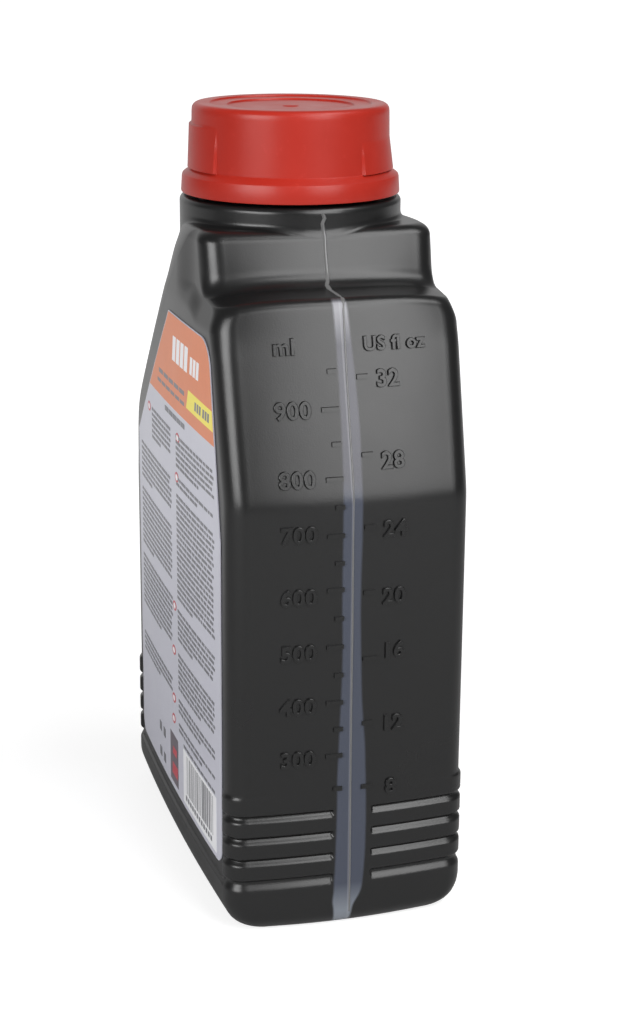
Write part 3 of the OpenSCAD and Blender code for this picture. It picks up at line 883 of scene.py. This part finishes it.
class OBJECT_OT_bottle_cap(bpy.types.Operator):
    """Builds the red screw cap with its skirt, grip fields and stepped top"""

    bl_idname = "object.bottle_cap"
    bl_label = "Screw cap"

    def execute(self, context):
        angles = set(round(2.0 * i, 3) for i in range(180))
        for start, end, _, _ in LANDS:
            for edge, way in ((start, 1), (end, -1)):
                for step in (0.0, 0.35, 0.7, LAND_EDGE, 1.6):
                    angles.add(round((edge + GRIP_TURN + way * step) % 360, 3))
        angles = [math.radians(a) for a in sorted(angles)]
        skirt_in = SKIRT_R - 1.6
        edge_r = 1.6
        profile = [(skirt_in, SKIRT_Z), (SKIRT_R - 0.3, SKIRT_Z), (SKIRT_R - 0.06, SKIRT_Z + 0.12),
                   (SKIRT_R, SKIRT_Z + 0.4), (SKIRT_R - 0.25, SKIRT_TOP_Z - 0.5),
                   (SKIRT_R - 0.42, SKIRT_TOP_Z)]
        profile += [(SKIRT_R - 0.75, SKIRT_TOP_Z + 0.28), (CAP_R + 0.9, WALL_Z - 0.45)]
        profile += [(CAP_R + 0.5, WALL_Z - 0.2), (CAP_R + 0.3, WALL_Z)]
        z = WALL_Z
        while z < 199.4:
            z += 0.4
            profile.append((CAP_R + 0.3 * (CAP_Z - z) / (CAP_Z - WALL_Z), z))
        top_z = CAP_Z - edge_r
        profile += arc(CAP_R - edge_r, top_z, edge_r, 12, 90, 7)
        profile += [(20.9, CAP_Z), (20.6, CAP_Z - 0.08), (20.35, CAP_Z - 0.42), (20.1, CAP_Z - 0.5)]
        profile += [(16.5, CAP_Z - 0.5), (16.2, CAP_Z - 0.55), (16.0, CAP_Z - 0.92), (15.7, CAP_Z - 1.0)]
        profile += [(8.0, CAP_Z - 1.0), (2.2, CAP_Z - 1.0), (1.9, CAP_Z - 0.8), (1.2, CAP_Z - 0.72)]
        count = len(profile)

        def radius_of(r, z, a):
            wall = WALL_Z - 0.01 <= z < top_z and r > CAP_IN_R + 0.5
            return r + (land_height(z, a) if wall else 0.0)

        verts, faces = [], []
        n = len(angles)
        for r, z in profile:
            for a in angles:
                rr = radius_of(r, z, a)
                verts.append((NECK_X + rr * math.cos(a), rr * math.sin(a), z))
        for k in range(count - 1):
            bridge(faces, k * n, (k + 1) * n, n)
        faces.append(tuple((count - 1) * n + i for i in range(n)))
        inner = [(skirt_in, SKIRT_TOP_Z - 1), (CAP_IN_R, WALL_Z), (CAP_IN_R, CAP_UNDER_Z), (4.0, CAP_UNDER_Z)]
        previous = 0
        for r, z in inner:
            start = len(verts)
            verts += [(NECK_X + r * math.cos(a), r * math.sin(a), z) for a in angles]
            bridge(faces, start, previous, n)
            previous = start
        faces.append(tuple(previous + n - 1 - i for i in range(n)))
        cap = make_piece("cap_shell", verts, faces, "cap_body", red_material(), 30.0)
        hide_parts("screw_cap")
        return {"FINISHED"}


# Print on the labels

def print_piece(name, shapes, material, proud, side=-1):
    """Thin ink shapes on a label: each shape is a polygon of (x, z), laid on the label's own curve."""
    verts, faces = [], []
    for shape in shapes:
        cut = split_wide(shape)
        for poly in cut:
            base = len(verts)
            n = len(poly)
            for out in (0.004, proud):
                verts += [(x + LABEL_SHIFT, -side * label_y(x + LABEL_SHIFT, out), z) for x, z in poly]
            if side > 0:
                faces.append(tuple(base + n + n - 1 - i for i in range(n)))
                faces.append(tuple(base + i for i in range(n)))
                for i in range(n):
                    j = (i + 1) % n
                    faces.append((base + j, base + i, base + n + i, base + n + j))
            else:
                faces.append(tuple(base + n + i for i in range(n)))
                faces.append(tuple(base + n - 1 - i for i in range(n)))
                for i in range(n):
                    j = (i + 1) % n
                    faces.append((base + i, base + j, base + n + j, base + n + i))
    return make_piece(name, verts, faces, "bottle_body", material, 30.0)


def split_wide(poly, step=4.0):
    """Cuts a convex polygon into upright slices, so that it follows the label's curve."""
    low = min(x for x, _ in poly)
    high = max(x for x, _ in poly)
    if high - low <= step:
        return [poly]
    count = int(math.ceil((high - low) / step))
    out = []
    for i in range(count):
        a = low + (high - low) * i / count
        b = low + (high - low) * (i + 1) / count
        piece = clip(clip(poly, a, 1), b, -1)
        if len(piece) > 2:
            out.append(piece)
    return out


def clip(poly, x0, way):
    out = []
    for (xa, za), (xb, zb) in zip(poly, poly[1:] + poly[:1]):
        ina, inb = (xa - x0) * way >= 0, (xb - x0) * way >= 0
        if ina:
            out.append((xa, za))
        if ina != inb:
            t = (x0 - xa) / (xb - xa)
            out.append((x0, za + (zb - za) * t))
    return out


def bar(x, z, w, h, skew=0.0):
    return [(x, z), (x + w, z), (x + w + skew, z + h), (x + skew, z + h)]


def disc(x, z, rx, rz, n=20):
    angles = [2 * math.pi * i / n for i in range(n)]
    return [(x + rx * math.cos(a), z + rz * math.sin(a)) for a in angles]


def head_outline():
    """The head field, just inside the label's slanted edge, its leaning edge and its round top corner."""
    right = LABEL_NEAR_X - LABEL_LEAN_RUN * (LABEL_TOP_Z - LEAN_Z)
    lean = math.degrees(math.atan(LABEL_LEAN_RUN))
    corner = arc(right - LABEL_TOP_R, LABEL_TOP_Z - LABEL_TOP_R, LABEL_TOP_R - PRINT_INSET, lean, 90, 8)
    bend_x = LABEL_NEAR_X - PRINT_INSET
    share = (HEAD_Z - LABEL_BEND_Z) / (corner[0][1] - LABEL_BEND_Z)
    near_foot = (bend_x + (corner[0][0] - bend_x) * share, HEAD_Z)
    top_left = right - LABEL_TOP_W
    slant = (top_left - LABEL_FAR_X) / (LABEL_TOP_Z - LABEL_SLANT_Z)
    top_z = LABEL_TOP_Z - PRINT_INSET
    far = [(top_left + 2 * PRINT_INSET - slant * (LABEL_TOP_Z - z), z) for z in (top_z, HEAD_Z)]
    return [(x - LABEL_SHIFT, z) for x, z in [far[1], near_foot] + corner + [far[0]]]


def text_lines(rng, left, right, top, bottom, pitch=1.55, height=0.78):
    """Rows of word-long dashes that stand for small print."""
    out = []
    z = top
    while z > bottom:
        x = left
        last = z - pitch <= bottom
        end = left + (right - left) * (rng.uniform(0.35, 0.7) if last else rng.uniform(0.95, 1.0))
        while x < end - 1.0:
            w = min(rng.uniform(1.2, 5.2), end - x)
            out.append(bar(x, z - height, w, height))
            x += w + 0.75
        z -= pitch
    return out


class OBJECT_OT_bottle_back_print(bpy.types.Operator):
    """Prints the back label: head field, grade band, two columns of small print, dots and a bar field"""

    bl_idname = "object.bottle_back_print"
    bl_label = "Back label print"

    def execute(self, context):
        colours = context.scene.bottle_colours
        rng = random.Random(7)
        dress_node("back_label", film_of("label_film", tuple(colours.label)))
        header = film_of("header_ink", tuple(colours.header), fleck=0.05)
        flash = film_of("flash_ink", tuple(colours.flash))
        ink = film_of("dark_ink", tuple(colours.ink))
        white = film_of("white_ink", (0.82, 0.82, 0.84))
        red = film_of("red_ink", (0.50, 0.05, 0.07))
        print_piece("header_field", [head_outline()], header, GROUND_INK)
        grade = [(15.6, 128.4), (41.2, 128.2), (40.3, 133.2), (18.0, 133.5)]
        print_piece("grade_band", [grade], flash, BAND_INK)
        title = [bar(0.6 + 4.3 * i, 137.6, 3.3, 6.6, 1.4) for i in range(4)]
        title += [bar(19.4 + 3.1 * i, 137.9, 2.3, 4.6, 1.0) for i in range(3)]
        print_piece("title_bars", title, white, TOP_INK)
        words = [bar(24.0 + 2.2 * i, 129.6, 1.6, 2.3, 0.4) for i in range(3)]
        words += [bar(31.6 + 2.2 * i, 129.6, 1.6, 2.3, 0.4) for i in range(3)]
        words += [bar(-16 + 6.1 * i, 130.9, 5.2, 1.2) for i in range(5)]
        words += [bar(-18 + 5.4 * i, 128.2, 4.5, 1.0) for i in range(6)]
        words += [bar(-9 + 4.6 * i, 122.1, 3.9, 1.3) for i in range(5)]
        for top, bottom in ((118.6, 110.8), (105.2, 94.4), (91.8, 75.6), (72.2, 57.4), (48.6, 43.0)):
            words += text_lines(rng, -44.0 if top < 106 else -41 + (top - 106) * 1.1, -2.2, top, bottom)
        for top, bottom in ((118.6, 110.8), (107.4, 105.4), (102.6, 74.2), (70.8, 62.0), (58.4, 48.4),
                            (45.4, 41.8), (38.4, 36.6)):
            words += text_lines(rng, 3.6, 42.0, top, bottom)
        words += [bar(9.0 + 3.6 * i, 33.6, 2.9, 0.8) for i in range(9)]
        words += self.bar_field(rng)
        print_piece("small_print", words, ink, SMALL_INK)
        dots = [disc(x, z, 1.9, 1.35) for x, z in self.dot_places()]
        print_piece("dot_rings", dots, red, BAND_INK)
        print_piece("dot_middles", [disc(x, z, 1.2, 0.8) for x, z in self.dot_places()], white, TOP_INK)
        print_piece("bar_ground", [bar(8.4, 17.9, 33.6, 15.2)], white, GROUND_INK)
        box_ink = film_of("box_ink", (0.12, 0.10, 0.12))
        print_piece("contact_box", [bar(-7.4, 18.2, 9.4, 14.2)], box_ink, GROUND_INK)
        mark = [bar(-5.2, 20.6, 6.4, 3.4, 0.6), bar(-4.4, 26.6, 4.6, 2.2, 0.4)]
        print_piece("contact_mark", mark, red, BAND_INK)
        return {"FINISHED"}

    @staticmethod
    def dot_places():
        return [(5.6, 118.0), (4.2, 107.2), (-31.0, 118.0), (0.0, 70.6), (-1.4, 57.6), (-2.0, 43.6),
                (-2.6, 37.4)]

    @staticmethod
    def bar_field(rng):
        out = []
        x = 12.2
        while x < 39.4:
            w = rng.choice((0.35, 0.35, 0.7, 1.05))
            out.append(bar(x, 21.4, w, 10.9))
            x += w + rng.choice((0.4, 0.4, 0.75, 1.1))
        out += [bar(11.0 + 2.3 * i, 19.2, 1.5, 1.4) for i in range(12)]
        out += [bar(-22 + 5.2 * i, z, 2.6, 2.6) for i in range(2) for z in (19.2, 26.8)]
        return out


class OBJECT_OT_bottle_front_print(bpy.types.Operator):
    """Prints the front label: a head field, a plain sweep and a few bars"""

    bl_idname = "object.bottle_front_print"
    bl_label = "Front label print"

    def execute(self, context):
        colours = context.scene.bottle_colours
        dress_node("front_label", film_of("label_film", tuple(colours.label)))
        header = film_of("header_ink", tuple(colours.header), fleck=0.05)
        flash = film_of("flash_ink", tuple(colours.flash))
        ink = film_of("dark_ink", tuple(colours.ink))
        white = film_of("white_ink", (0.82, 0.82, 0.84))
        print_piece("front_header", [head_outline()], header, GROUND_INK, side=1)
        print_piece("front_title", [bar(2.0, 133.0, 34.0, 8.0)], white, TOP_INK, side=1)
        wide_band = [(-46.0, 52.0), (46.2, 34.0), (46.2, 58.0), (-46.0, 76.0)]
        print_piece("front_sweep", [wide_band], header, GROUND_INK, side=1)
        thin_band = [(-46.0, 44.0), (46.2, 26.0), (46.2, 31.0), (-46.0, 49.0)]
        print_piece("front_flash", [thin_band], flash, GROUND_INK, side=1)
        lines = [bar(-36.0, 108.0 - 6.4 * i, w, 3.0) for i, w in enumerate((66, 58, 70, 40))]
        print_piece("front_lines", lines, ink, SMALL_INK, side=1)
        return {"FINISHED"}


# Volume scale
TICK_H = 1.25


def mapped_text(name, words, y, z, height, proud):
    """Raised characters on the scale side, centred at a place across it and a height."""
    curve = bpy.data.curves.new(name, "FONT")
    curve.body = words
    curve.size = height / 0.72
    curve.extrude = proud
    curve.bevel_depth = 0.14
    curve.bevel_resolution = 1
    curve.offset = 0.07
    curve.space_character = 1.05
    curve.align_x = "CENTER"
    curve.align_y = "CENTER"
    curve.resolution_u = 4
    source = bpy.data.objects.new(name, curve)
    bpy.context.scene.collection.objects.link(source)
    bpy.context.view_layer.update()
    mesh = bpy.data.meshes.new_from_object(source.evaluated_get(bpy.context.evaluated_depsgraph_get()))
    bpy.data.objects.remove(source)
    verts = []
    for v in mesh.vertices:
        across, up = y + v.co.x, z + v.co.y * LEAN_COS
        out = v.co.z
        verts.append((side_x(across, up) + out, across, up))
    faces = [tuple(p.vertices) for p in mesh.polygons]
    bpy.data.meshes.remove(mesh)
    return verts, faces


def tick(y0, y1, z, height, proud):
    """A rounded bar of the scale, as (verts, faces)."""
    half = height / 2
    section = [(-half, -0.1), (-half + 0.12, proud), (half - 0.12, proud), (half, -0.1)]
    verts, faces = [], []
    steps = 4
    for i in range(steps + 1):
        y = y0 + (y1 - y0) * i / steps
        for s, o in section:
            verts.append((side_x(y, z + s) + o, y, z + s))
    for k in range(steps):
        bridge(faces, k * 4, (k + 1) * 4, 4, flip=True)
    faces.append((0, 1, 2, 3))
    faces.append((steps * 4 + 3, steps * 4 + 2, steps * 4 + 1, steps * 4))
    return verts, faces


class OBJECT_OT_bottle_scale(bpy.types.Operator):
    """Adds the raised volume scale on both sides of the strip"""

    bl_idname = "object.bottle_scale"
    bl_label = "Volume scale"

    def execute(self, context):
        marks = context.scene.bottle_marks
        height = marks.digit_height / MM
        proud = marks.proud / MM
        parts = [mapped_text("m", "ml", -15.0, 148.8, 3.9, proud),
                 mapped_text("o", "US fl oz", 12.6, 148.8, 3.4, proud)]
        long_marks = {900: 134.2, 800: 118.0, 700: 104.3, 600: 90.6, 500: 75.9, 400: 61.3, 300: 47.2}
        number_z = {900: 134.1, 800: 118.1, 700: 104.8, 600: 89.0, 500: 74.7, 400: 60.7, 300: 46.8}
        for value, z in long_marks.items():
            parts.append(mapped_text("n", str(value), -13.8, number_z[value], height, proud))
            parts.append(tick(-6.7, -2.4, z, TICK_H, proud))
        for z in (143.0, 126.1, 111.4, 97.3, 83.2, 68.5, 54.2, 38.3):
            parts.append(tick(-4.7, -2.4, z, TICK_H, proud))
        ounces = {32: (141.4, 140.6), 28: (123.3, 121.5), 24: (106.0, 105.0), 20: (89.3, 87.8),
                  16: (72.1, 73.6), 12: (55.2, 54.4), 8: (38.1, 37.2)}
        for value, (z, zn) in ounces.items():
            parts.append(mapped_text("n", str(value), 10.4, zn, height, proud))
            parts.append(tick(2.6, 5.4 if value != 16 else 6.4, z, TICK_H, proud))
        verts, faces = [], []
        for more, shell in parts:
            base = len(verts)
            verts += more
            faces += [tuple(base + i for i in f) for f in shell]
        make_piece("volume_scale", verts, faces, "bottle_body", plain_black(), 40.0)
        return {"FINISHED"}


class OBJECT_OT_bottle_seals(bpy.types.Operator):
    """Gives the mouth's foil and the cap's liner their materials"""

    bl_idname = "object.bottle_seals"
    bl_label = "Foil and liner"

    def execute(self, context):
        for node, material in (("mouth_foil", foil_metal("seal_foil", (0.78, 0.78, 0.80))),
                               ("cap_liner", foam("liner_foam", (0.82, 0.82, 0.79)))):
            dress_node(node, material)
        return {"FINISHED"}


# Stage

def area_light(name, place, aim, size_x, size_y, energy):
    data = bpy.data.lights.new(name, "AREA")
    data.shape = "RECTANGLE"
    data.size = size_x
    data.size_y = size_y
    data.energy = energy
    lamp = bpy.data.objects.new(name, data)
    bpy.context.scene.collection.objects.link(lamp)
    lamp.location = place
    lamp.rotation_mode = "QUATERNION"
    lamp.rotation_quaternion = (Vector(aim) - Vector(place)).to_track_quat("-Z", "Y")
    return lamp


class SCENE_OT_bottle_stage(bpy.types.Operator):
    """Sets the floor, the soft lights, the world and the camera"""

    bl_idname = "scene.bottle_stage"
    bl_label = "Stage"

    def execute(self, context):
        scene = context.scene
        scene.view_settings.view_transform = "Standard"
        self.world(scene)
        self.floor(scene)
        area_light("front_soft", (0.945, 0.372, 0.68), (0, 0, 0.14), 0.62, 0.88, 10)
        area_light("high_soft", (0.38, 0.46, 1.10), (0, 0, 0.14), 0.62, 0.50, 5.5)
        area_light("label_soft", (0.71, -0.91, 0.49), (0, 0, 0.14), 0.75, 0.55, 11)
        self.camera(scene)
        return {"FINISHED"}

    @staticmethod
    def world(scene):
        world = bpy.data.worlds.new("studio")
        scene.world = world
        world.use_nodes = True
        tree = world.node_tree
        tree.nodes.clear()
        out = tree.nodes.new("ShaderNodeOutputWorld")
        seen = tree.nodes.new("ShaderNodeBackground")
        seen.inputs["Color"].default_value = (1, 1, 1, 1)
        lit = tree.nodes.new("ShaderNodeBackground")
        lit.inputs["Color"].default_value = (1, 1, 1, 1)
        way = tree.nodes.new("ShaderNodeSeparateXYZ")
        tree.links.new(tree.nodes.new("ShaderNodeTexCoord").outputs["Generated"], way.inputs[0])
        behind = map_range(tree, way.outputs[0], -0.55, -0.95, 0.14, 0.75, smooth=True)
        tree.links.new(behind, lit.inputs["Strength"])
        path = tree.nodes.new("ShaderNodeLightPath")
        mix = tree.nodes.new("ShaderNodeMixShader")
        tree.links.new(path.outputs["Is Camera Ray"], mix.inputs[0])
        tree.links.new(lit.outputs[0], mix.inputs[1])
        tree.links.new(seen.outputs[0], mix.inputs[2])
        tree.links.new(mix.outputs[0], out.inputs["Surface"])

    @staticmethod
    def floor(scene):
        material, tree, shader = new_material("pale_floor")
        coords = object_coords(tree)
        tint = noise(tree, coords, 3.0, 3.0)
        ground = mix_color(tree, tint, (0.49, 0.49, 0.49), (0.51, 0.51, 0.51))
        tree.links.new(ground, shader.inputs["Base Color"])
        shader.inputs["Roughness"].default_value = 0.9
        shader.inputs["Specular IOR Level"].default_value = 0.1
        shader.inputs["Emission Color"].default_value = (1, 1, 1, 1)
        path = tree.nodes.new("ShaderNodeLightPath")
        place = tree.nodes.new("ShaderNodeVectorMath")
        place.operation = "LENGTH"
        tree.links.new(coords, place.inputs[0])
        seen = map_range(tree, place.outputs["Value"], 0.10, 0.80, 0.72, 1.0, smooth=True)
        split = tree.nodes.new("ShaderNodeSeparateXYZ")
        tree.links.new(coords, split.inputs[0])
        mirrored = map_range(tree, split.outputs[0], -0.10, -0.40, 0.0, 0.5, smooth=True)
        glow = math_node(tree, "ADD", math_node(tree, "MULTIPLY", path.outputs["Is Camera Ray"], seen),
                         math_node(tree, "MULTIPLY", path.outputs["Is Glossy Ray"], mirrored))
        tree.links.new(glow, shader.inputs["Emission Strength"])
        mesh = bpy.data.meshes.new("floor")
        mesh.from_pydata([(-6, -6, 0), (6, -6, 0), (6, 6, 0), (-6, 6, 0)], [], [(0, 1, 2, 3)])
        mesh.materials.append(material)
        floor = bpy.data.objects.new("floor", mesh)
        scene.collection.objects.link(floor)

    @staticmethod
    def camera(scene):
        azimuth, pitch, roll = math.radians(73.590), math.radians(16.533), math.radians(0.441)
        focal_px, long_side_px = 2069.134, 1023
        data = bpy.data.cameras.new("camera")
        data.sensor_width = 36.0
        data.lens = focal_px * data.sensor_width / long_side_px
        data.clip_start, data.clip_end = 0.01, 50
        forward = Vector((-math.sin(azimuth) * math.cos(pitch), math.cos(azimuth) * math.cos(pitch),
                          -math.sin(pitch)))
        right = forward.cross(Vector((0, 0, 1))).normalized()
        up = right.cross(forward)
        turned_right = right * math.cos(roll) + up * math.sin(roll)
        turned_up = up * math.cos(roll) - right * math.sin(roll)
        camera = bpy.data.objects.new("camera", data)
        scene.collection.objects.link(camera)
        basis = Matrix((turned_right, turned_up, -forward)).transposed().to_4x4()
        basis.translation = Vector((0.511867, -0.144020, 0.251564))
        camera.matrix_world = basis
        scene.camera = camera


class VIEW3D_PT_bottle(bpy.types.Panel):
    """Lists the bottle's settings and its pieces"""

    bl_label = "Fork oil bottle"
    bl_space_type = "VIEW_3D"
    bl_region_type = "UI"
    bl_category = "Oil bottle"

    def draw(self, context):
        column = self.layout.column()
        for group in (context.scene.bottle_colours, context.scene.bottle_marks):
            for field in group.__annotations__:
                column.prop(group, field)
        for operator in OPERATORS:
            column.operator(operator.bl_idname)


OPERATORS = (
    OBJECT_OT_bottle_skin,
    OBJECT_OT_bottle_parting_line,
    OBJECT_OT_bottle_thread,
    OBJECT_OT_bottle_cap,
    OBJECT_OT_bottle_back_print,
    OBJECT_OT_bottle_front_print,
    OBJECT_OT_bottle_scale,
    OBJECT_OT_bottle_seals,
    SCENE_OT_bottle_stage,
)
CLASSES = (BottleColours, BottleMarks) + OPERATORS + (VIEW3D_PT_bottle,)


def register():
    for cls in CLASSES:
        bpy.utils.register_class(cls)
    bpy.types.Scene.bottle_colours = bpy.props.PointerProperty(type=BottleColours)
    bpy.types.Scene.bottle_marks = bpy.props.PointerProperty(type=BottleMarks)


def unregister():
    del bpy.types.Scene.bottle_marks
    del bpy.types.Scene.bottle_colours
    for cls in reversed(CLASSES):
        bpy.utils.unregister_class(cls)


def main():
    register()
    bpy.ops.object.bottle_skin()
    bpy.ops.object.bottle_parting_line()
    bpy.ops.object.bottle_thread()
    bpy.ops.object.bottle_cap()
    bpy.ops.object.bottle_back_print()
    bpy.ops.object.bottle_front_print()
    bpy.ops.object.bottle_scale()
    bpy.ops.object.bottle_seals()
    bpy.ops.scene.bottle_stage()


if __name__ == "__main__":
    main()
